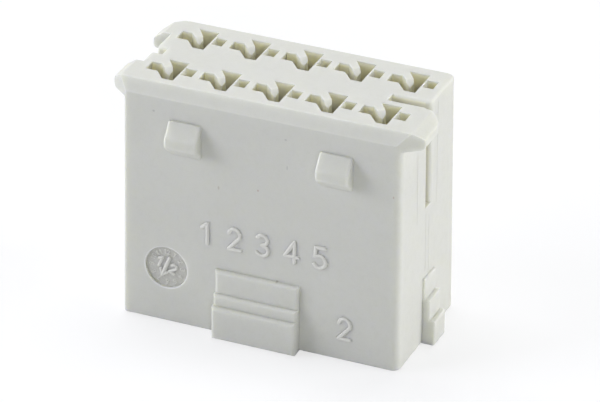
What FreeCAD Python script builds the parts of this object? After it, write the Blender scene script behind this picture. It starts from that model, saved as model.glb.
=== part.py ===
"""Ten-way contact housing, two rows of five, moulded in one piece.

Millimetres. +Z is up, from the mating foot to the wire-entry face, +X runs along a row and the face with
the snap noses looks towards -Y. The origin is the centre of the foot.
"""
import FreeCAD
import Part
import math
import os

V = FreeCAD.Vector

# contact grid
columns = 5
rows = 2
pitch = 5.0
row_pitch = 6.4

# one cavity, measured from the left and front of its outline
cavity_width = 3.15
cavity_depth = 3.57
wing_front = 1.17        # the wing that takes the crimp: its front wall
wing_back = 2.60         # and its back wall
wing_length = 1.15       # along its front wall
blade_left = 1.22        # left wall of the part that takes the contact's box
throat_width = 1.00      # the flat in front, between bevel and right wall
floor_thickness = 1.6
key_length = 8.0         # how far the key rib reaches down
key_bevel_angle = 24.0   # lead-in on the end of the key rib
key_bevel_length = 1.15

# release window beside each cavity
window_gap = 0.27        # the thin web between cavity and window
window_width = 0.92
window_front = 1.25
window_height = 1.37     # its size across the rows
window_depth = 9.0

# blade openings in the foot
blade_slot_width = 1.0
blade_slot_length = 3.2
blade_lead_in = 0.35

# walls outside the grid, at the foot
end_wall = 0.98
front_wall = 1.80
back_wall = 1.43
height = 23.15
end_draft = 0.165        # each end leans in by this much at the top
face_draft = 0.30        # front and back
left_corner_radius = 0.25   # upright corner between front and left end
right_corner_radius = 0.75  # between front and right end
back_corner_radius = 0.8
edge_radius = 0.25

# bevel along the top of the front
bevel_depth = 0.72
bevel_height = 1.10

# collar ears on the ends
ear_reach = 1.60         # beyond the end wall's top edge
ear_crown = 0.58         # flat top beyond the same edge
ear_crown_drop = 0.72    # where the slope on top meets the tip
ear_tip = 0.98           # height of the upright tip
ear_undercut = 0.02      # rise of the underside towards the tip
ear_shoulder = 1.75      # how far back from the front face the ear reaches full width
ear_front_length = 4.10  # back end of the front left ear, from the front face
ear_right_full = 4.35    # the right ear is at full width as far as this
ear_back_start = 9.85    # front end of the back left ear
ear_back_full = 11.20    # it is at full width as far as this
ear_round = 0.40
ear_slot_gap = 0.40       # from the right ear's back end to the rail slot
ear_overlap = 0.5         # how far an ear runs into the body

# slots for the rails of the secondary lock
slot_width = 0.93
slot_bottom = 13.3       # above the foot
slot_right = 3.85        # depth from the right end, measured at the foot's width
slot_left = 1.25
slot_offset = 0.05       # behind the middle
slot_mouth_radius = 0.35 # rounds the slot's upright edges on the ends

# snap noses
nose_width = 3.10
nose_spacing = 14.2
nose_offset = -0.07      # of the pair, along the row
nose_reach = 1.24        # beyond the foot's front edge less the draft there
nose_lip = 0.20
nose_foot = 16.8
nose_flat_low = 17.9
nose_flat_high = 18.75
nose_top = 20.12
nose_side_round = 0.25
nose_low_round = 0.60
nose_ramp_round = 1.10

# coding tab on the front, in three steps, and guide ribs on the ends
tab_width = 7.95
tab_offset = -0.18
tab_reach = (1.25, 0.80, 0.38)
tab_levels = (3.2, 4.25, 6.45)
rib_width = 2.5
rib_offset = 0.25
rib_reach = (1.20, 0.70, 0.22)
rib_levels = (2.4, 4.4, 6.45)
tab_round = 0.35
rib_round = 0.20

# date dial, sunk into the front
dial_radius = 2.0
dial_depth = 0.22
dial_from_left = 4.15
dial_height = 5.40

# derived
window_left = cavity_width + window_gap
cell_width = window_left + window_width
foot_width = (columns - 1) * pitch + cell_width + 2 * end_wall
foot_depth = (rows - 1) * row_pitch + cavity_depth + front_wall + back_wall
left = -foot_width / 2
right = foot_width / 2
front = -foot_depth / 2
back = foot_depth / 2
grid_left = left + end_wall
grid_front = front + front_wall
top_left = left + end_draft
top_right = right - end_draft
top_front = front + face_draft
top_back = back - face_draft


def prism(points, z_low, z_high):
    """Upright prism over a plan outline."""
    wire = Part.makePolygon([V(x, y, z_low) for x, y in points] + [V(points[0][0], points[0][1], z_low)])
    return Part.Face(wire).extrude(V(0, 0, z_high - z_low))


def bar_x(points, x_low, x_high):
    """Prism along X over a (y, z) outline."""
    wire = Part.makePolygon([V(x_low, y, z) for y, z in points] + [V(x_low, points[0][0], points[0][1])])
    return Part.Face(wire).extrude(V(x_high - x_low, 0, 0))


def bar_y(points, y_low, y_high):
    """Prism along Y over an (x, z) outline."""
    wire = Part.makePolygon([V(x, y_low, z) for x, z in points] + [V(points[0][0], y_low, points[0][1])])
    return Part.Face(wire).extrude(V(0, y_high - y_low, 0))


def outline(x_low, x_high, y_low, y_high, z):
    """Rectangle as a closed wire."""
    corners = [V(x_low, y_low, z), V(x_high, y_low, z), V(x_high, y_high, z), V(x_low, y_high, z)]
    return Part.makePolygon(corners + corners[:1])


def softened(shape, radius, chosen):
    """Rounds the chosen edges."""
    return shape.makeFillet(radius, [e for e in shape.Edges if chosen(e)])


def lies_at(edge, axis, value):
    """True where a whole edge keeps one coordinate."""
    box = edge.BoundBox
    low = getattr(box, axis + "Min")
    high = getattr(box, axis + "Max")
    return abs(low - value) < 1e-6 and abs(high - value) < 1e-6


def upright_at(edge, x_side, y_side):
    """True for a tall edge in one quarter of the plan."""
    box = edge.BoundBox
    return box.ZLength > height / 2 and box.Center.x * x_side > right - 1 and box.Center.y * y_side > back - 1


def drafted_body():
    """The block with its draft, slots for the rails and rounded outer edges."""
    body = Part.makeLoft([outline(left, right, front, back, 0),
                          outline(top_left, top_right, top_front, top_back, height)], True, True)
    body = softened(body, left_corner_radius, lambda e: upright_at(e, -1, -1))
    body = softened(body, right_corner_radius, lambda e: upright_at(e, 1, -1))
    body = softened(body, back_corner_radius, lambda e: upright_at(e, -1, 1))
    body = softened(body, back_corner_radius, lambda e: upright_at(e, 1, 1))
    body = softened(body, edge_radius, lambda e: lies_at(e, "Z", 0) or lies_at(e, "Z", height))
    body = body.cut(rail_slots())
    return softened(body, slot_mouth_radius, lambda e: at_slot_mouth(e))


def at_slot_mouth(edge):
    """True for the upright edges where a rail slot leaves an end."""
    box = edge.BoundBox
    beside = abs(abs(box.Center.y - slot_offset) - slot_width / 2) < 1e-4
    return beside and box.ZLength > (height - slot_bottom) / 2 and abs(box.Center.x) > right - 0.5


def ear(side, plan):
    """Collar ear: the collar's section along Y, kept to a plan outline. side is 1 on the right."""
    edge = top_right if side > 0 else top_left
    tip_top = height - ear_crown_drop
    tip_low = tip_top - ear_tip
    section = [
        (edge - side * ear_overlap, tip_low - ear_undercut),
        (edge, tip_low - ear_undercut),
        (edge + side * ear_reach, tip_low),
        (edge + side * ear_reach, tip_top),
        (edge + side * ear_crown, height),
        (edge - side * ear_overlap, height),
    ]
    solid = bar_y(section, front, back)
    solid = softened(solid, ear_round, lambda e: lies_at(e, "X", edge + side * ear_reach)
                     or lies_at(e, "X", edge + side * ear_crown))
    return solid.common(prism(plan, 0, height))


def ears():
    """Front left, front right and back left."""
    inner_left = top_left + ear_overlap
    inner_right = top_right - ear_overlap
    tip_left = top_left - ear_reach
    tip_right = top_right + ear_reach
    root = top_front + 0.05
    slot_edge = slot_offset - slot_width / 2 - ear_slot_gap
    front_left = ear(-1, [(inner_left, root), (top_left + 0.1, root), (tip_left, front + ear_shoulder),
                          (tip_left, front + ear_front_length), (inner_left, front + ear_front_length)])
    full = front + ear_right_full
    sweep = []
    for k in range(1, 7):
        turn = math.radians(15 * k)
        sweep.append((tip_right - ear_reach * (1 - math.cos(turn)), full + (slot_edge - full) * math.sin(turn)))
    front_right = ear(1, [(inner_right, root), (top_right - 0.42, root), (tip_right, front + ear_shoulder),
                          (tip_right, full)] + sweep + [(inner_right, slot_edge)])
    corner = back_corner_radius * (1 - math.cos(math.radians(45)))
    back_left = ear(-1, [(inner_left, front + ear_back_start), (tip_left, front + ear_back_start),
                         (tip_left, front + ear_back_full), (top_left + corner, top_back - corner),
                         (inner_left, top_back - corner)])
    return [front_left, front_right, back_left]


def coding_tab():
    """Three blocks of falling thickness and rising height, so the tab is thickest at the foot."""
    steps = []
    for reach, level in zip(tab_reach, tab_levels):
        block = Part.makeBox(tab_width, reach + 0.6, level, V(tab_offset - tab_width / 2, front - reach, 0))
        steps.append(softened(block, tab_round, lambda e: lies_at(e, "Y", front - reach)))
    return steps


def guide_rib(side):
    """As the tab, on an end wall; side is 1 on the right."""
    steps = []
    low = rib_offset - rib_width / 2
    for reach, level in zip(rib_reach, rib_levels):
        outer = side * (foot_width / 2 + reach)
        inner = side * (foot_width / 2 - 0.6)
        block = Part.makeBox(abs(outer - inner), rib_width, level, V(min(outer, inner), low, 0))
        steps.append(softened(block, rib_round, lambda e: lies_at(e, "X", outer)))
    return steps


def snap_nose(middle, side):
    """Wedge with a small lip on top; side is -1 on the front and 1 on the back."""
    face = front if side < 0 else back
    lean = face_draft * nose_flat_high / height
    inner = face - side * 1.0
    tip = face + side * (nose_reach - lean)
    lip = face + side * (nose_lip - lean)
    outline = [(inner, nose_foot), (face - side * lean, nose_foot), (tip, nose_flat_low), (tip, nose_flat_high),
               (lip, nose_top), (inner, nose_top)]
    block = bar_x(outline, middle - nose_width / 2, middle + nose_width / 2)
    block = softened(block, nose_low_round, lambda e: lies_at(e, "Y", tip) and lies_at(e, "Z", nose_flat_low))
    block = softened(block, nose_ramp_round, lambda e: lies_at(e, "Y", tip) and lies_at(e, "Z", nose_flat_high))
    return softened(block, nose_side_round, lambda e: lies_at(e, "X", middle - nose_width / 2)
                    or lies_at(e, "X", middle + nose_width / 2))


def key_rib(x, y):
    """Diagonal rib that keys the contact, with its end bevelled as a lead-in."""
    root_left = (x + 0.85, y + wing_back + 0.05)
    plan = [root_left, (x + 1.87, y + 1.50), (x + 2.08, y + 1.34), (x + 2.42, y + 1.20), (x + 2.42, y + 1.88),
            (x + 1.96, y + 2.55), (x + blade_left, y + cavity_depth), (x + blade_left - 0.3, y + cavity_depth),
            (x + 0.85, y + cavity_depth)]
    rib = prism(plan, height - key_length, height)
    run = V(1.22, -1.50, 0)
    run.normalize()
    across = V(-run.y, run.x, 0)
    tip = V(x + 2.42, y + 1.20, height)
    start = tip - run * key_bevel_length
    drop = key_bevel_length * math.tan(math.radians(key_bevel_angle))
    far = tip + run * 1.0
    far_drop = drop * (key_bevel_length + 1.0) / key_bevel_length
    wedge = Part.Face(Part.makePolygon([start - across * 2, far - across * 2, far - across * 2 - V(0, 0, far_drop),
                                        start - across * 2])).extrude(across * 4)
    return rib.cut(wedge)


def cavity(x, y):
    """Space for one contact, open at the wire-entry face and closed by the floor but for the blade slot."""
    throat = cavity_width - throat_width
    plan = [(x, y + wing_front), (x + wing_length, y + wing_front), (x + throat, y), (x + cavity_width, y),
            (x + cavity_width, y + cavity_depth), (x + blade_left, y + cavity_depth),
            (x + blade_left, y + wing_back), (x, y + wing_back)]
    space = prism(plan, floor_thickness, height + 1)
    space = space.cut(key_rib(x, y))
    slot_x = x + cavity_width - 0.05 - blade_slot_width
    slot_y = y + (cavity_depth - blade_slot_length) / 2
    slot = Part.makeBox(blade_slot_width, blade_slot_length, floor_thickness + 1, V(slot_x, slot_y, -0.5))
    grow = blade_lead_in
    low = Part.makePolygon([V(slot_x - grow, slot_y - grow, 0), V(slot_x + blade_slot_width + grow, slot_y - grow, 0),
                            V(slot_x + blade_slot_width + grow, slot_y + blade_slot_length + grow, 0),
                            V(slot_x - grow, slot_y + blade_slot_length + grow, 0), V(slot_x - grow, slot_y - grow, 0)])
    high = Part.makePolygon([V(slot_x, slot_y, grow), V(slot_x + blade_slot_width, slot_y, grow),
                             V(slot_x + blade_slot_width, slot_y + blade_slot_length, grow),
                             V(slot_x, slot_y + blade_slot_length, grow), V(slot_x, slot_y, grow)])
    lead_in = Part.makeLoft([low, high], True, True)
    return [space, slot, lead_in]


def release_window(x, y):
    return Part.makeBox(window_width, window_height, window_depth + 1,
                        V(x + window_left, y + window_front, height - window_depth))


def rail_slots():
    low = slot_offset - slot_width / 2
    rise = height - slot_bottom + 1
    on_right = Part.makeBox(slot_right + 3, slot_width, rise, V(right - slot_right, low, slot_bottom))
    on_left = Part.makeBox(slot_left + 3, slot_width, rise, V(left - 3, low, slot_bottom))
    return [on_right, on_left]


def front_bevel():
    reach = ear_reach + 1
    return bar_x([(top_front + bevel_depth, height), (top_front + bevel_depth, height + 1),
                  (front - 2, height + 1), (front - 2, height - bevel_height - 0.5),
                  (top_front - bevel_depth * 0.5 / bevel_height, height - bevel_height - 0.5)],
                 left - reach, right + reach)


def date_dial():
    lean = face_draft * dial_height / height
    return Part.makeCylinder(dial_radius, dial_depth + 2, V(left + dial_from_left, front + lean + dial_depth,
                                                           dial_height), V(0, -1, 0))


def housing():
    body = drafted_body()
    grown = ears() + coding_tab() + guide_rib(1) + guide_rib(-1)
    for side in (-1, 1):
        for place in (-1, 1):
            grown.append(snap_nose(nose_offset + place * nose_spacing / 2, side))
    body = body.fuse(grown).removeSplitter()
    taken = [front_bevel(), date_dial()]
    for row in range(rows):
        for column in range(columns):
            x = grid_left + column * pitch
            y = grid_front + row * row_pitch
            taken += cavity(x, y)
            taken.append(release_window(x, y))
    return body.cut(taken).removeSplitter()


shape = housing()
if len(shape.Solids) == 1:
    shape = shape.Solids[0]
print("housing", shape.ShapeType, "valid", shape.isValid(), "volume mm3", round(shape.Volume, 1), shape.BoundBox)
os.makedirs("parts", exist_ok=True)
shape.exportStep("parts/housing.step")
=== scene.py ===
"""Looks of the ten-way contact housing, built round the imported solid.

Sizes are written in millimetres from the centre of the foot, as in the part's source, and turned into metres
where a mesh or a lamp is made. The face with the snap noses looks towards -Y.
"""
import math

import bmesh
import bpy
from mathutils import Matrix, Vector


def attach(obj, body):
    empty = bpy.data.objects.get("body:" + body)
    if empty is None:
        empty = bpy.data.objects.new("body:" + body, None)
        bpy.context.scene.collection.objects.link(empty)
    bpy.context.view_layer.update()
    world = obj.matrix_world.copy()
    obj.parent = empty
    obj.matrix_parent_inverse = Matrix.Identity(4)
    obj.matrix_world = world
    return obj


MM = 0.001

# the solid, as the part's source has it
FOOT_WIDTH = 26.3
FOOT_DEPTH = 13.2
HEIGHT = 23.15
FACE_DRAFT = 0.30
END_DRAFT = 0.165
LEFT = -FOOT_WIDTH / 2
RIGHT = FOOT_WIDTH / 2
FRONT = -FOOT_DEPTH / 2
DIAL_X = LEFT + 4.15
DIAL_Z = 5.40
DIAL_RADIUS = 2.0
DIAL_DEPTH = 0.22
PITCH = 5.0
ROW_PITCH = 6.4
GRID_LEFT = LEFT + 0.98
GRID_FRONT = FRONT + 1.80
RIB_TIP = (2.42, 1.20)
RIB_RUN = (0.631, -0.776)
WINDOW_LEFT = 3.42
SLOT_Y = 0.05
SLOT_WIDTH = 0.93
SLOT_BOTTOM = 13.3

# half sizes of the block that holds the grid of cavities
GRID_HALF_X = 12.4
GRID_HALF_Y = 5.5

# rounding: edges that meet at more degrees than this get this width
SHARP_ANGLE = 32
EDGE_WIDTH = 0.07

# how far the ends of the key ribs are set back, over what length, and what the webs lose
RIB_SET_BACK = 0.55
RIB_END = 1.3
WEB_LOSS = 0.17

# raised characters
NUMERAL_HEIGHT = 2.0
NUMERAL_STROKE = 0.34
NUMERAL_RISE = 0.15
NUMBER_ROW_Z = 9.72
NUMBER_PLACES = (8.0, 10.7, 13.4, 16.1, 18.8)
MOULD_NUMBER_X = 21.2
MOULD_NUMBER_Z = 3.2
HOUR_CIRCLE = 1.50

# fine lines on the ends: place from the front, top and bottom
WITNESS_LINES = ((4.05, 19.6, 12.7), (6.1, 12.7, 7.0), (6.85, 12.3, 6.6), (8.6, 22.6, 12.7))
WITNESS_WIDTH = 0.05
WITNESS_RISE = 0.014
LAST_LINE_ON_BOTH = 8

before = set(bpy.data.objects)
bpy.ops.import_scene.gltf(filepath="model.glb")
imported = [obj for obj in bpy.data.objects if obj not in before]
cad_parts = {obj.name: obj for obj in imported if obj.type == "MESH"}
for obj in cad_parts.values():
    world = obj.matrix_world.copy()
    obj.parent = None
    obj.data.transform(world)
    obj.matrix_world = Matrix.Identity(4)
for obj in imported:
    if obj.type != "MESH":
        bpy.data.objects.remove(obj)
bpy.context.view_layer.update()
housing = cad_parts["housing"]


# materials
def shader_tree(name):
    material = bpy.data.materials.new(name)
    material.use_nodes = True
    tree = material.node_tree
    tree.nodes.clear()
    return material, tree


def add(tree, kind, settings=None, values=None, links=None):
    """A node with its settings, its sockets' own values and its links."""
    node = tree.nodes.new(kind)
    for key, value in (settings or {}).items():
        setattr(node, key, value)
    for key, value in (values or {}).items():
        node.inputs[key].default_value = value
    for key, source in (links or {}).items():
        tree.links.new(source, node.inputs[key])
    return node


def noise(tree, where, per_metre, detail, roughness):
    values = {"Scale": per_metre, "Detail": detail, "Roughness": roughness}
    return add(tree, "ShaderNodeTexNoise", values=values, links={"Vector": where})


def spread(tree, source, low, high, to_low, to_high):
    """Maps a range of one value on to another, clamped."""
    node = add(tree, "ShaderNodeMapRange", values={"From Min": low, "From Max": high, "To Min": to_low,
                                                   "To Max": to_high}, links={"Value": source})
    return node.outputs["Result"]


def math_node(tree, operation, a, b):
    node = tree.nodes.new("ShaderNodeMath")
    node.operation = operation
    for slot, value in ((0, a), (1, b)):
        if isinstance(value, (int, float)):
            node.inputs[slot].default_value = value
        else:
            tree.links.new(value, node.inputs[slot])
    return node.outputs[0]


def tint(tree, base, factor, colour):
    """Mixes a colour over the base by a factor."""
    node = add(tree, "ShaderNodeMix", {"data_type": "RGBA", "blend_type": "MIX"})
    if isinstance(factor, float):
        node.inputs["Factor"].default_value = factor
    else:
        tree.links.new(factor, node.inputs["Factor"])
    for key, value in (("A", base), ("B", colour)):
        socket = [s for s in node.inputs if s.name == key and s.type == "RGBA"][0]
        if isinstance(value, tuple):
            socket.default_value = value
        else:
            tree.links.new(value, socket)
    return [s for s in node.outputs if s.type == "RGBA"][0]


PLASTIC = (0.700, 0.702, 0.640, 1.0)
PLASTIC_PALE = (0.735, 0.738, 0.680, 1.0)
PLASTIC_DULL = (0.660, 0.662, 0.592, 1.0)
# painted shade: darker tone for the recessed dial floor
DIAL_FLOOR_SHADE = (0.600, 0.592, 0.520, 1.0)
# painted shade and warm bounce light inside the cavities: upper, side-facing and deep tones
CAVITY_UPPER_BOUNCE = (0.880, 0.860, 0.705, 1.0)
CAVITY_SIDE_SHADE = (0.600, 0.588, 0.450, 1.0)
CAVITY_DEEP_SHADE = (0.500, 0.478, 0.330, 1.0)
# painted bounce light: paler, yellower tone for the walls of the rail slots
SLOT_BOUNCE = (0.740, 0.728, 0.630, 1.0)
# painted highlight: paler tone for the raised strokes
STROKE_HIGHLIGHT = (0.775, 0.768, 0.700, 1.0)
# painted highlight: pale tone for the ring round the dial
RIM_HIGHLIGHT = (0.860, 0.860, 0.820, 1.0)
BROWN = (0.30, 0.22, 0.13, 1.0)
GREY = (0.26, 0.26, 0.25, 1.0)
RUST = (0.38, 0.18, 0.10, 1.0)

# small marks on the front: place from the left edge, height, half width, half height, strength, colour
SPECKS = [
    (3.00, 20.67, 0.110, 0.090, 0.34, GREY),
    (9.18, 14.47, 0.080, 0.160, 0.30, BROWN),
    (12.90, 15.02, 0.090, 0.080, 0.42, RUST),
    (15.45, 20.51, 0.110, 0.080, 0.32, GREY),
    (15.61, 17.84, 0.050, 0.200, 0.36, GREY),
    (25.50, 17.13, 0.060, 0.100, 0.38, RUST),
    (14.80, 6.51, 0.120, 0.070, 0.45, BROWN),
]


def near(tree, parts, x, z, size_x, size_z, soft):
    """1 inside an ellipse on the front, 0 outside, with a soft rim. Sizes in millimetres."""
    u = math_node(tree, "DIVIDE", math_node(tree, "SUBTRACT", parts["X"], x * MM), size_x * MM)
    v = math_node(tree, "DIVIDE", math_node(tree, "SUBTRACT", parts["Z"], z * MM), size_z * MM)
    far = math_node(tree, "SQRT", math_node(tree, "ADD", math_node(tree, "MULTIPLY", u, u),
                                            math_node(tree, "MULTIPLY", v, v)), 0)
    inside = spread(tree, far, 1 - soft, 1 + soft, 1.0, 0.0)
    in_front = math_node(tree, "LESS_THAN", parts["Y"], -6.0 * MM)
    return math_node(tree, "MULTIPLY", inside, in_front)


def inside_walls(tree, parts, facing):
    """1 on the walls of the cavities, 0 outside and on what faces up just under the top."""
    upright = math_node(tree, "MAXIMUM", spread(tree, facing["Z"], 0.35, 0.75, 1.0, 0.0),
                        math_node(tree, "LESS_THAN", parts["Z"], 22.0 * MM))
    mask = math_node(tree, "MULTIPLY", spread(tree, parts["Z"], 22.85 * MM, 23.10 * MM, 1.0, 0.0),
                     spread(tree, parts["Z"], 0.05 * MM, 0.4 * MM, 0.0, 1.0))
    mask = math_node(tree, "MULTIPLY", mask, upright)
    for axis, half in (("X", 12.35), ("Y", 5.50)):
        way = math_node(tree, "ABSOLUTE", parts[axis], 0)
        mask = math_node(tree, "MULTIPLY", mask, spread(tree, way, half * MM, (half + 0.1) * MM, 1.0, 0.0))
    return mask


def inside_slots(tree, parts):
    """1 on the walls of the two rail slots."""
    way = math_node(tree, "ABSOLUTE", math_node(tree, "SUBTRACT", parts["Y"], SLOT_Y * MM), 0)
    beside = spread(tree, way, (SLOT_WIDTH / 2 + 0.01) * MM, (SLOT_WIDTH / 2 + 0.06) * MM, 1.0, 0.0)
    high = math_node(tree, "GREATER_THAN", parts["Z"], (SLOT_BOTTOM - 0.05) * MM)
    under = spread(tree, parts["Z"], 22.6 * MM, 23.08 * MM, 1.0, 0.0)
    return math_node(tree, "MULTIPLY", beside, math_node(tree, "MULTIPLY", high, under))


def moulded_plastic(name, scattering):
    """Pale glass-filled polyamide with the matt grain of an eroded mould."""
    material, tree = shader_tree(name)
    coordinates = add(tree, "ShaderNodeTexCoord").outputs
    where = coordinates["Object"]
    cloud = noise(tree, where, 260, 4, 0.55).outputs["Fac"]
    patch = noise(tree, where, 1400, 3, 0.6).outputs["Fac"]
    grain = noise(tree, where, 9500, 2, 0.5).outputs["Fac"]
    colour = tint(tree, PLASTIC, spread(tree, cloud, 0.35, 0.70, 0.0, 0.45), PLASTIC_PALE)
    colour = tint(tree, colour, spread(tree, patch, 0.48, 0.72, 0.0, 0.35), PLASTIC_DULL)
    colour = tint(tree, colour, spread(tree, grain, 0.45, 0.75, 0.0, 0.40), PLASTIC_DULL)
    parts = add(tree, "ShaderNodeSeparateXYZ", links={"Vector": where}).outputs
    if scattering:
        # painted shade: the recessed dial floor is darkened, mottled by noise
        floor = math_node(tree, "MULTIPLY", near(tree, parts, DIAL_X, DIAL_Z, DIAL_RADIUS, DIAL_RADIUS, 0.02),
                          math_node(tree, "GREATER_THAN", parts["Y"], (FRONT + 0.12) * MM))
        dial_mottle = noise(tree, where, 5200, 3, 0.7).outputs["Fac"]
        dial_floor_shade = math_node(tree, "MULTIPLY", floor, spread(tree, dial_mottle, 0.35, 0.6, 0.2, 0.9))
        colour = tint(tree, colour, dial_floor_shade, DIAL_FLOOR_SHADE)
        # painted highlight: a pale ring round the dial's edge stands in for light caught by the rim
        outer = DIAL_RADIUS + 0.11
        inner = DIAL_RADIUS - 0.01
        ring = math_node(tree, "SUBTRACT", near(tree, parts, DIAL_X, DIAL_Z, outer, outer, 0.02),
                         near(tree, parts, DIAL_X, DIAL_Z, inner, inner, 0.01))
        ring = math_node(tree, "MULTIPLY", ring, math_node(tree, "LESS_THAN", parts["Y"], (FRONT + 0.13) * MM))
        colour = tint(tree, colour, math_node(tree, "MULTIPLY", ring, 0.7), RIM_HIGHLIGHT)
        facing = add(tree, "ShaderNodeSeparateXYZ", links={"Vector": coordinates["Normal"]}).outputs
        # painted shade and bounce light: the cavity walls go darker and more olive towards the bottom, darker
        # again where they face +X, and pale yellow near the top
        cavity_shade = tint(tree, CAVITY_DEEP_SHADE, spread(tree, parts["Z"], 18.2 * MM, 22.2 * MM, 0.0, 1.0), CAVITY_UPPER_BOUNCE)
        cavity_shade = tint(tree, cavity_shade, spread(tree, facing["X"], 0.5, 0.9, 0.0, 0.75), CAVITY_SIDE_SHADE)
        colour = tint(tree, colour, inside_walls(tree, parts, facing), cavity_shade)
        # painted bounce light: the walls of the rail slots get a paler, yellower tone
        colour = tint(tree, colour, inside_slots(tree, parts), SLOT_BOUNCE)
        for x, z, size_x, size_z, strength, stain in SPECKS:
            spot = near(tree, parts, LEFT + x, z, size_x, size_z, 0.45)
            colour = tint(tree, colour, math_node(tree, "MULTIPLY", spot, strength), stain)
    else:
        # painted highlight: the raised strokes get a paler tone, standing in for light caught by their rounded
        # tops
        colour = tint(tree, colour, 0.75, STROKE_HIGHLIGHT)
    rough = math_node(tree, "ADD", spread(tree, grain, 0.3, 0.7, 0.50, 0.60),
                      spread(tree, patch, 0.3, 0.7, -0.04, 0.04))
    height = math_node(tree, "ADD", spread(tree, grain, 0.2, 0.8, 0.0, 1.0),
                       spread(tree, patch, 0.2, 0.8, 0.0, 2.0))
    bump = add(tree, "ShaderNodeBump", values={"Strength": 0.6, "Distance": 0.000004}, links={"Height": height})
    skin = add(tree, "ShaderNodeBsdfPrincipled", values={"IOR": 1.52, "Subsurface Weight": scattering,
                                                         "Subsurface Radius": (1.0, 1.0, 0.80),
                                                         "Subsurface Scale": 0.0009},
               links={"Base Color": colour, "Roughness": rough, "Normal": bump.outputs["Normal"]})
    out = add(tree, "ShaderNodeOutputMaterial")
    tree.links.new(skin.outputs["BSDF"], out.inputs["Surface"])
    return material


plastic = moulded_plastic("moulded_plastic", 1.0)
plastic_strokes = moulded_plastic("moulded_plastic_strokes", 0.0)
housing.data.materials.clear()
housing.data.materials.append(plastic)


# the housing's edges
def new_group(name):
    group = bpy.data.node_groups.new(name, "GeometryNodeTree")
    for way in ("INPUT", "OUTPUT"):
        group.interface.new_socket("Geometry", in_out=way, socket_type="NodeSocketGeometry")
    return group


def grid_place(group, parts):
    """Place within one cavity's cell, and 1 for the points that lie inside the grid."""
    from_left = math_node(group, "SUBTRACT", parts["X"], GRID_LEFT * MM)
    from_front = math_node(group, "SUBTRACT", parts["Y"], GRID_FRONT * MM)
    x = math_node(group, "FLOORED_MODULO", from_left, PITCH * MM)
    y = math_node(group, "FLOORED_MODULO", from_front, ROW_PITCH * MM)
    inside = 1
    for axis, half in (("X", GRID_HALF_X), ("Y", GRID_HALF_Y)):
        way = math_node(group, "ABSOLUTE", parts[axis], 0)
        inside = math_node(group, "MULTIPLY", inside, math_node(group, "LESS_THAN", way, half * MM))
    return x, y, inside


def between(group, value, low, high):
    return math_node(group, "MULTIPLY", math_node(group, "GREATER_THAN", value, low * MM),
                     math_node(group, "LESS_THAN", value, high * MM))


def cavity_trim():
    """Sets the ends of the key ribs back by half a millimetre and thins the webs beside the release windows."""
    group = new_group("cavity_trim")
    place = add(group, "GeometryNodeInputPosition").outputs[0]
    parts = add(group, "ShaderNodeSeparateXYZ", links={"Vector": place}).outputs
    x, y, inside = grid_place(group, parts)
    from_x = math_node(group, "SUBTRACT", x, RIB_TIP[0] * MM)
    from_y = math_node(group, "SUBTRACT", y, RIB_TIP[1] * MM)
    run_x, run_y = RIB_RUN
    behind = math_node(group, "ADD", math_node(group, "MULTIPLY", from_x, -run_x),
                       math_node(group, "MULTIPLY", from_y, -run_y))
    across = math_node(group, "ADD", math_node(group, "MULTIPLY", from_x, -run_y),
                       math_node(group, "MULTIPLY", from_y, run_x))
    on_rib = math_node(group, "MULTIPLY", between(group, behind, -0.03, RIB_END),
                       between(group, across, -0.65, 0.65))
    on_rib = math_node(group, "MULTIPLY", math_node(group, "MULTIPLY", on_rib, inside),
                       math_node(group, "GREATER_THAN", parts["Z"], 15.0 * MM))
    set_back = spread(group, behind, 0.0, RIB_END * MM, RIB_SET_BACK * MM, 0.0)
    back = math_node(group, "MULTIPLY", set_back, on_rib)
    at_window = math_node(group, "MULTIPLY", between(group, x, WINDOW_LEFT - 0.03, WINDOW_LEFT + 0.03),
                          between(group, y, 1.2, 2.7))
    at_window = math_node(group, "MULTIPLY", math_node(group, "MULTIPLY", at_window, inside),
                          math_node(group, "GREATER_THAN", parts["Z"], 14.0 * MM))
    move_x = math_node(group, "ADD", math_node(group, "MULTIPLY", back, -run_x),
                       math_node(group, "MULTIPLY", at_window, -WEB_LOSS * MM))
    move_y = math_node(group, "MULTIPLY", back, -run_y)
    move = add(group, "ShaderNodeCombineXYZ", links={"X": move_x, "Y": move_y})
    start = group.nodes.new("NodeGroupInput")
    moved = add(group, "GeometryNodeSetPosition", links={"Offset": move.outputs[0]})
    end = group.nodes.new("NodeGroupOutput")
    group.links.new(start.outputs["Geometry"], moved.inputs["Geometry"])
    group.links.new(moved.outputs["Geometry"], end.inputs["Geometry"])
    return group


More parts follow.
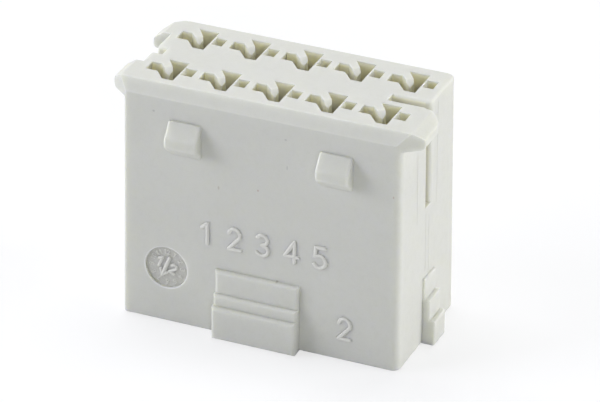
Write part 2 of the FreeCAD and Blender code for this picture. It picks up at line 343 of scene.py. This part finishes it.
def edge_weights():
    """Shades the faces smooth, and marks the outward edges that the source has not rounded itself."""
    group = new_group("edge_weights")
    place = add(group, "GeometryNodeInputPosition").outputs[0]
    parts = add(group, "ShaderNodeSeparateXYZ", links={"Vector": place}).outputs
    angle = add(group, "GeometryNodeInputMeshEdgeAngle").outputs
    sharp = math_node(group, "GREATER_THAN", angle["Unsigned Angle"], math.radians(SHARP_ANGLE))
    outward = math_node(group, "GREATER_THAN", angle["Signed Angle"], math.radians(SHARP_ANGLE))
    x, _, in_grid = grid_place(group, parts)
    inside = math_node(group, "MULTIPLY", between(group, parts["Z"], 1.0, 22.0), in_grid)
    low = math_node(group, "LESS_THAN", parts["Z"], 7 * MM)
    on_tab = math_node(group, "LESS_THAN", parts["Y"], (FRONT - 0.03) * MM)
    width = math_node(group, "ABSOLUTE", parts["X"], 0)
    on_rib = math_node(group, "GREATER_THAN", width, (RIGHT + 0.03) * MM)
    on_ear = math_node(group, "MULTIPLY", math_node(group, "GREATER_THAN", parts["Z"], 20.9 * MM),
                       math_node(group, "GREATER_THAN", width, (RIGHT - 1.25) * MM))
    done = math_node(group, "MAXIMUM", math_node(group, "MULTIPLY", low, on_tab),
                     math_node(group, "MAXIMUM", on_rib, on_ear))
    done = math_node(group, "MAXIMUM", done, inside)
    thin = math_node(group, "MULTIPLY", between(group, x, 3.10, 3.30), in_grid)
    weight = math_node(group, "MULTIPLY", outward, math_node(group, "SUBTRACT", 1, done))
    narrower = math_node(group, "SUBTRACT", 1, math_node(group, "MULTIPLY", thin, 0.5))
    weight = math_node(group, "MULTIPLY", weight, narrower)
    start = group.nodes.new("NodeGroupInput")
    plain = add(group, "GeometryNodeRemoveAttribute", values={"Name": "custom_normal"})
    smooth = add(group, "GeometryNodeSetShadeSmooth")
    crease = add(group, "GeometryNodeSetShadeSmooth", {"domain": "EDGE"}, {"Shade Smooth": False},
                 {"Selection": math_node(group, "MULTIPLY", sharp, math_node(group, "LESS_THAN", weight, 0.1))})
    store = add(group, "GeometryNodeStoreNamedAttribute", {"data_type": "FLOAT", "domain": "EDGE"},
                {"Name": "bevel_weight_edge"}, {"Value": weight})
    end = group.nodes.new("NodeGroupOutput")
    chain = [start, plain, smooth, crease, store, end]
    for first, second in zip(chain, chain[1:]):
        group.links.new(first.outputs["Geometry"], second.inputs["Geometry"])
    return group


def soften_edges(target, width):
    """Joins the faces and rounds the sharp edges a little. All of it is modifiers."""
    weld = target.modifiers.new("weld", "WELD")
    weld.merge_threshold = 2e-7
    trim = target.modifiers.new("cavity_trim", "NODES")
    trim.node_group = cavity_trim()
    step = target.modifiers.new("edge_weights", "NODES")
    step.node_group = edge_weights()
    edge = target.modifiers.new("edge", "BEVEL")
    edge.width = width * MM
    edge.segments = 2
    edge.limit_method = "WEIGHT"
    edge.use_clamp_overlap = False
    edge.miter_outer = "MITER_ARC"
    edge.harden_normals = True
    edge.loop_slide = False


soften_edges(housing, EDGE_WIDTH)


# raised characters and lines: each stroke is a closed bar with a rounded top, rooted in the solid
def arc(x, y, rx, ry, start, stop, steps=9):
    """Points on part of an ellipse, in degrees, either way round."""
    turns = [math.radians(start + (stop - start) * k / steps) for k in range(steps + 1)]
    return [(x + rx * math.cos(t), y + ry * math.sin(t)) for t in turns]


NUMERALS = {
    "0": [arc(0.30, 0.50, 0.27, 0.50, 90, 450, 18)],
    "1": [[(0.10, 0.76), (0.36, 1.0), (0.36, 0.0)]],
    "2": [arc(0.30, 0.71, 0.27, 0.29, 165, -25) + [(0.03, 0.0), (0.58, 0.0)]],
    "3": [arc(0.27, 0.76, 0.25, 0.24, 150, -90), arc(0.27, 0.26, 0.29, 0.26, 90, -150)],
    "4": [[(0.45, 0.0), (0.45, 1.0), (0.0, 0.28), (0.62, 0.28)]],
    "5": [[(0.54, 1.0), (0.11, 1.0), (0.07, 0.56)] + arc(0.28, 0.31, 0.29, 0.31, 125, -150)],
    "6": [arc(0.34, 0.55, 0.32, 0.45, 70, 180) + arc(0.30, 0.29, 0.28, 0.29, 180, 540, 16)],
    "7": [[(0.03, 1.0), (0.58, 1.0), (0.20, 0.0)]],
    "8": [arc(0.30, 0.76, 0.23, 0.24, 90, 450, 16), arc(0.30, 0.26, 0.28, 0.26, 90, 450, 16)],
    "9": [arc(0.26, 0.45, 0.32, 0.45, -110, 0) + arc(0.30, 0.71, 0.28, 0.29, 0, 360, 16)],
}


class Face:
    """A plane of the solid that characters stand on: its origin, its right and up, its outward normal."""

    def __init__(self, origin, right, up):
        self.origin = Vector(origin)
        self.right = Vector(right).normalized()
        self.up = Vector(up).normalized()
        self.out = self.right.cross(self.up)

    def at(self, u, v, h):
        return (self.origin + self.right * u + self.up * v + self.out * h) * MM


def split_at_corners(points, limit=50):
    """Cuts a run of points where it turns sharply, so each piece sweeps cleanly."""
    runs = [[points[0]]]
    for k in range(1, len(points)):
        runs[-1].append(points[k])
        if k < len(points) - 1:
            a = math.atan2(points[k][1] - points[k - 1][1], points[k][0] - points[k - 1][0])
            b = math.atan2(points[k + 1][1] - points[k][1], points[k + 1][0] - points[k][0])
            if abs(math.degrees((b - a + math.pi) % (2 * math.pi) - math.pi)) > limit:
                runs.append([points[k]])
    return runs


def sweep(mesh, face, points, width, rise, root=0.05):
    """One closed bar along a run of points on a face, with round ends."""
    flank = [(1.0, 0.0), (0.92, 0.45), (0.66, 0.80), (0.25, 0.98)]
    section = [(-s, t) for s, t in flank] + flank[::-1]
    half = width / 2
    rings = []

    def ring(x, y, dx, dy, scale):
        row = [mesh.verts.new(face.at(x - dy * half * scale * s, y + dx * half * scale * s,
                                      rise * t * min(1.0, 0.35 + 0.65 * scale))) for s, t in section]
        row.append(mesh.verts.new(face.at(x - dy * half * scale, y + dx * half * scale, -root)))
        row.append(mesh.verts.new(face.at(x + dy * half * scale, y - dx * half * scale, -root)))
        rings.append(row)

    def heading(a, b):
        length = math.hypot(b[0] - a[0], b[1] - a[1])
        return (b[0] - a[0]) / length, (b[1] - a[1]) / length

    count = len(points)
    for k in range(count):
        before = heading(points[max(k - 1, 0)], points[max(k, 1)])
        after = heading(points[min(k, count - 2)], points[min(k + 1, count - 1)])
        dx, dy = heading((0, 0), (before[0] + after[0], before[1] + after[1]))
        x, y = points[k]
        if k == 0:
            for turn in (12, 35, 60):
                t = math.radians(turn)
                ring(x - dx * half * math.cos(t), y - dy * half * math.cos(t), dx, dy, math.sin(t))
        ring(x, y, dx, dy, 1.0)
        if k == count - 1:
            for turn in (60, 35, 12):
                t = math.radians(turn)
                ring(x + dx * half * math.cos(t), y + dy * half * math.cos(t), dx, dy, math.sin(t))
    for first, second in zip(rings, rings[1:]):
        for j in range(len(first)):
            n = (j + 1) % len(first)
            mesh.faces.new((first[j], first[n], second[n], second[j]))
    mesh.faces.new(list(reversed(rings[0])))
    mesh.faces.new(rings[-1])


def numeral(mesh, face, text, x, y, tall, width, rise, turn=0.0, spacing=0.78):
    """Writes digits with their centre at x, y, turned anticlockwise by an angle in degrees."""
    c = math.cos(math.radians(turn))
    s = math.sin(math.radians(turn))
    start = -(spacing * (len(text) - 1) + 0.6) / 2
    for place, digit in enumerate(text):
        for run in NUMERALS[digit]:
            moved = [((start + place * spacing + u) * tall, (v - 0.5) * tall) for u, v in run]
            turned = [(x + u * c - v * s, y + u * s + v * c) for u, v in moved]
            for part in split_at_corners(turned):
                sweep(mesh, face, part, width, rise)


def raised(name, draw, material):
    """A piece made of raised strokes, which rides with the housing."""
    mesh = bmesh.new()
    draw(mesh)
    bmesh.ops.recalc_face_normals(mesh, faces=mesh.faces)
    data = bpy.data.meshes.new(name)
    mesh.to_mesh(data)
    mesh.free()
    data.shade_smooth()
    data.set_sharp_from_angle(angle=math.radians(50))
    data.materials.append(material)
    piece = bpy.data.objects.new(name, data)
    bpy.context.scene.collection.objects.link(piece)
    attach(piece, "root")
    return piece


def front_face(z):
    """The front at a height, where it leans back by the draft."""
    lean = FACE_DRAFT / HEIGHT
    return Face((0, FRONT + lean * z, z), (1, 0, 0), (0, lean, 1))


def row_numbers(mesh):
    """Numbers one to five across the front, one above each column."""
    face = front_face(NUMBER_ROW_Z)
    for number, x in enumerate(NUMBER_PLACES, 1):
        numeral(mesh, face, str(number), LEFT + x, 0, NUMERAL_HEIGHT, NUMERAL_STROKE, NUMERAL_RISE)


def mould_number(mesh):
    numeral(mesh, front_face(MOULD_NUMBER_Z), "2", LEFT + MOULD_NUMBER_X, 0, NUMERAL_HEIGHT, NUMERAL_STROKE,
            NUMERAL_RISE)


def dial_marks(mesh):
    """Arrow, the two digits beside it and the ring of small numbers on the dial's floor."""
    face = Face((DIAL_X, FRONT + FACE_DRAFT * DIAL_Z / HEIGHT + DIAL_DEPTH, DIAL_Z), (1, 0, 0), (0, 0, 1))
    tip = (-0.46, -0.86)
    sweep(mesh, face, [(0.27, 0.94), tip], 0.34, 0.19)
    sweep(mesh, face, [(-0.60, -0.30), tip], 0.28, 0.17)
    sweep(mesh, face, [(0.00, -0.58), tip], 0.28, 0.17)
    numeral(mesh, face, "1", -0.66, 0.45, 0.95, 0.28, 0.17, -24)
    numeral(mesh, face, "2", 0.60, -0.10, 0.90, 0.28, 0.17, -24)
    for hour in range(1, 13):
        turn = math.radians(90 - 30 * hour)
        x = HOUR_CIRCLE * math.cos(turn)
        y = HOUR_CIRCLE * math.sin(turn)
        numeral(mesh, face, str(hour), x, y, 0.42, 0.085, 0.045, -30 * hour)


def witness_lines(mesh):
    """Fine lines that the mould's inserts leave on the ends."""
    lean = END_DRAFT / HEIGHT
    right_end = Face((RIGHT, 0, 0), (0, 1, 0), (-lean, 0, 1))
    left_end = Face((LEFT, 0, 0), (0, -1, 0), (lean, 0, 1))
    for y, high, low in WITNESS_LINES:
        sweep(mesh, right_end, [(FRONT + y, low), (FRONT + y, high)], WITNESS_WIDTH, WITNESS_RISE)
        if y < LAST_LINE_ON_BOTH:
            sweep(mesh, left_end, [(-FRONT - y, low), (-FRONT - y, high)], WITNESS_WIDTH, WITNESS_RISE)


raised("row_numbers", row_numbers, plastic_strokes)
raised("mould_number", mould_number, plastic_strokes)
raised("dial_marks", dial_marks, plastic_strokes)
raised("witness_lines", witness_lines, plastic_strokes)


# camera, lights, floor
def place_camera():
    data = bpy.data.cameras.new("camera")
    data.lens = 271.6
    data.sensor_width = 36.0
    data.sensor_fit = "HORIZONTAL"
    data.clip_start = 0.01
    data.clip_end = 10
    camera = bpy.data.objects.new("camera", data)
    right = Vector((0.91882901, 0.39459724, 0.00680204))
    down = Vector((0.19670112, -0.4429451, -0.8747047))
    ahead = Vector((-0.34214313, 0.80504202, -0.48460852))
    turn = Matrix((right, -down, -ahead)).transposed()
    camera.matrix_world = Matrix.Translation((0.13699, -0.32002, 0.20368)) @ turn.to_4x4()
    bpy.context.scene.collection.objects.link(camera)
    bpy.context.scene.camera = camera


LAMPS = [
    # name, azimuth, elevation, strength, colour
    ("top", 0, 90, 0.303, (0.995, 0.998, 1.008)),
    ("left_low", -90, 5, 0.760, (0.997, 0.997, 1.005)),
    ("left_front", -60, 22, 1.774, (0.957, 0.973, 1.076)),
    ("front_right", 30, 22, 0.879, (0.962, 0.982, 1.064)),
    ("left_back_high", -120, 65, 1.095, (0.984, 0.991, 1.026)),
    ("back_high", 180, 65, 0.940, (0.988, 0.995, 1.018)),
    ("right_end", 100, 22, 0.827, (0.992, 0.995, 1.014)),
    ("right_rear_low", 110, 5, 1.994, (0.993, 0.994, 1.013)),
]
LAMP_SIZE = 0.3
LAMP_DISTANCE = 0.6
LAMP_AIM = Vector((0, 0, HEIGHT * MM / 2))


def place_lamps():
    for name, azimuth, elevation, strength, colour in LAMPS:
        a = math.radians(azimuth)
        e = math.radians(elevation)
        back = Vector((math.sin(a) * math.cos(e), -math.cos(a) * math.cos(e), math.sin(e)))
        data = bpy.data.lights.new("lamp_" + name, "AREA")
        data.shape = "SQUARE"
        data.size = LAMP_SIZE
        data.energy = strength
        data.color = colour
        lamp = bpy.data.objects.new("lamp_" + name, data)
        lamp.rotation_mode = "QUATERNION"
        lamp.rotation_quaternion = back.to_track_quat("Z", "Y")
        lamp.location = LAMP_AIM + back * LAMP_DISTANCE
        lamp.visible_camera = False
        bpy.context.scene.collection.objects.link(lamp)


def seen(tree):
    """1 for a ray from the camera, a mirror-like bounce or one through glass."""
    path = add(tree, "ShaderNodeLightPath")
    both = math_node(tree, "MAXIMUM", path.outputs["Is Camera Ray"], path.outputs["Is Glossy Ray"])
    return math_node(tree, "MAXIMUM", both, path.outputs["Is Transmission Ray"])


WORLD_LEVEL = 0.000
FLOOR_COLOUR = (0.80, 0.80, 0.80, 1.0)
FLOOR_SHOWN = (0.40, 0.40, 0.40, 1.0)
FLOOR_GLOW = 0.62


def surround():
    world = bpy.data.worlds.new("studio")
    bpy.context.scene.world = world
    world.use_nodes = True
    tree = world.node_tree
    tree.nodes.clear()
    ambient = add(tree, "ShaderNodeBackground", values={"Color": (1, 1, 1, 1), "Strength": WORLD_LEVEL})
    white = add(tree, "ShaderNodeBackground", values={"Color": (1, 1, 1, 1), "Strength": 1.0})
    mix = add(tree, "ShaderNodeMixShader")
    tree.links.new(seen(tree), mix.inputs[0])
    tree.links.new(ambient.outputs[0], mix.inputs[1])
    tree.links.new(white.outputs[0], mix.inputs[2])
    out = add(tree, "ShaderNodeOutputWorld")
    tree.links.new(mix.outputs[0], out.inputs["Surface"])

    mesh = bpy.data.meshes.new("floor")
    half = 3.0
    corners = [(-half, -half, 0), (half, -half, 0), (half, half, 0), (-half, half, 0)]
    mesh.from_pydata(corners, [], [(0, 1, 2, 3)])
    floor = bpy.data.objects.new("floor", mesh)
    floor.location.z = -0.00002
    bpy.context.scene.collection.objects.link(floor)
    material, tree = shader_tree("floor_paper")
    lit = add(tree, "ShaderNodeBsdfDiffuse", values={"Color": FLOOR_COLOUR})
    shown = add(tree, "ShaderNodeBsdfDiffuse", values={"Color": FLOOR_SHOWN})
    glow = add(tree, "ShaderNodeEmission", values={"Color": (1, 1, 1, 1), "Strength": FLOOR_GLOW})
    both = add(tree, "ShaderNodeAddShader")
    tree.links.new(shown.outputs[0], both.inputs[0])
    tree.links.new(glow.outputs[0], both.inputs[1])
    mix = add(tree, "ShaderNodeMixShader")
    tree.links.new(seen(tree), mix.inputs[0])
    tree.links.new(lit.outputs[0], mix.inputs[1])
    tree.links.new(both.outputs[0], mix.inputs[2])
    out = add(tree, "ShaderNodeOutputMaterial")
    tree.links.new(mix.outputs[0], out.inputs["Surface"])
    mesh.materials.append(material)


place_camera()
place_lamps()
surround()
bpy.context.scene.view_settings.view_transform = "Standard"
